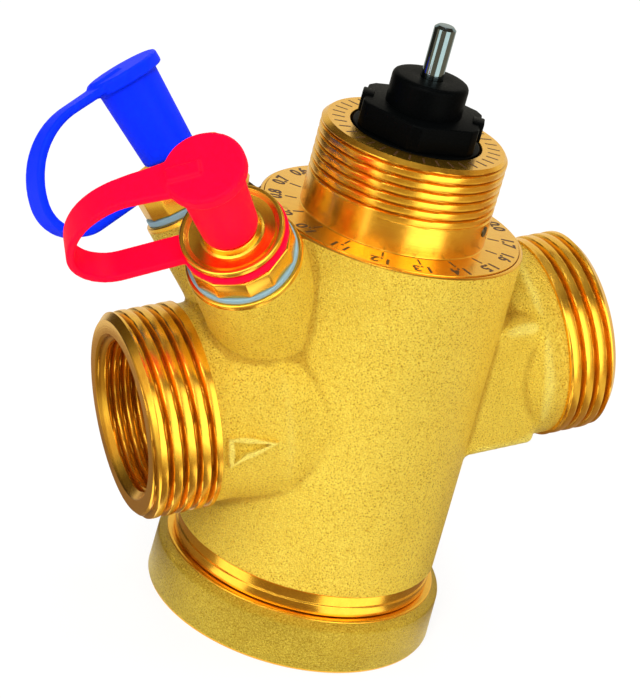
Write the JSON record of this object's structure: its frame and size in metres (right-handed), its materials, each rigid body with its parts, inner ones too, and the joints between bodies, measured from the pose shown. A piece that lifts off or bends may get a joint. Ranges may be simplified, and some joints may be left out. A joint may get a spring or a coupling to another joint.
{
  "type": "pressure independent control valve",
  "caption": "Cast brass control valve with an inclined pipe axis, threaded ends, an actuator neck with a setting dial and stem, and capped test points.",
  "frame": {"origin": "middle of the flat underside of the bottom cap, on the stem axis", "axes": "+Z along the stem, out of the actuator neck; +X along the flow, towards the outlet; the pipe axis lies in the XZ plane and climbs 14.5 degrees towards +X"},
  "size_m": [0.1002, 0.0488, 0.1022],
  "materials": {
    "cast_brass": "sand-cast, fine grain",
    "turned_brass": "turned, polished",
    "black_plastic": "moulded",
    "white_plastic": "moulded",
    "bright_steel": "ground and polished",
    "dark_steel": "oxidised",
    "spring_steel": "drawn wire",
    "black_rubber": "moulded",
    "grey_washer": "pressed fibre",
    "red_plastic": "moulded",
    "blue_plastic": "moulded"
  },
  "bodies": {
    "housing": {"valve_body": "cast_brass", "bottom_cap": "cast_brass", "cap_seal": "black_rubber", "diaphragm_ring": "turned_brass", "diaphragm": "black_rubber", "bonnet": "turned_brass", "index_pin": "dark_steel", "bonnet_seal": "black_rubber", "seat_ring": "turned_brass", "regulator_spring": "spring_steel", "red_test_plug": "turned_brass", "red_plug_washer": "grey_washer", "red_plug_core": "black_rubber", "blue_test_plug": "turned_brass", "blue_plug_washer": "grey_washer", "blue_plug_core": "black_rubber"},
    "dial": {"setting_dial": "black_plastic", "dial_clip": "spring_steel", "setting_sleeve": "white_plastic", "seal_retainer": "white_plastic", "stem_seal": "black_rubber", "stem_spring": "spring_steel"},
    "stem": {"stem": "bright_steel", "stem_collar": "turned_brass", "control_plug": "white_plastic"},
    "regulator": {"regulator_cup": "white_plastic"},
    "red_cap": {"red_cap": "red_plastic"},
    "blue_cap": {"blue_cap": "blue_plastic"}
  },
  "joints": [
    {"name": "setting_turn", "type": "hinge", "parent": "housing", "child": "dial", "pos_m": [0, 0, 0.075], "axis": [0, 0, 1], "range_deg": [-150, 150]},
    {"name": "stem_stroke", "type": "slide", "parent": "dial", "child": "stem", "axis": [0, 0, -1], "range_m": [0, 0.0045], "stiffness_N_per_m": 3000, "springref_m": -0.006, "deforming": ["stem_spring"]},
    {"name": "regulator_stroke", "type": "slide", "parent": "housing", "child": "regulator", "axis": [0, 0, 1], "range_m": [0, 0.005], "stiffness_N_per_m": 2000, "springref_m": -0.006, "deforming": ["regulator_spring", "diaphragm"]},
    {"name": "red_cap_swivel", "type": "hinge", "parent": "housing", "child": "red_cap", "pos_m": [0, 0.00755, 0.03011], "axis": [-0.5854, -0.3595, 0.7267], "continuous": true},
    {"name": "blue_cap_swivel", "type": "hinge", "parent": "housing", "child": "blue_cap", "pos_m": [0, -0.00755, 0.03011], "axis": [-0.5854, 0.3595, 0.7267], "continuous": true}
  ]
}
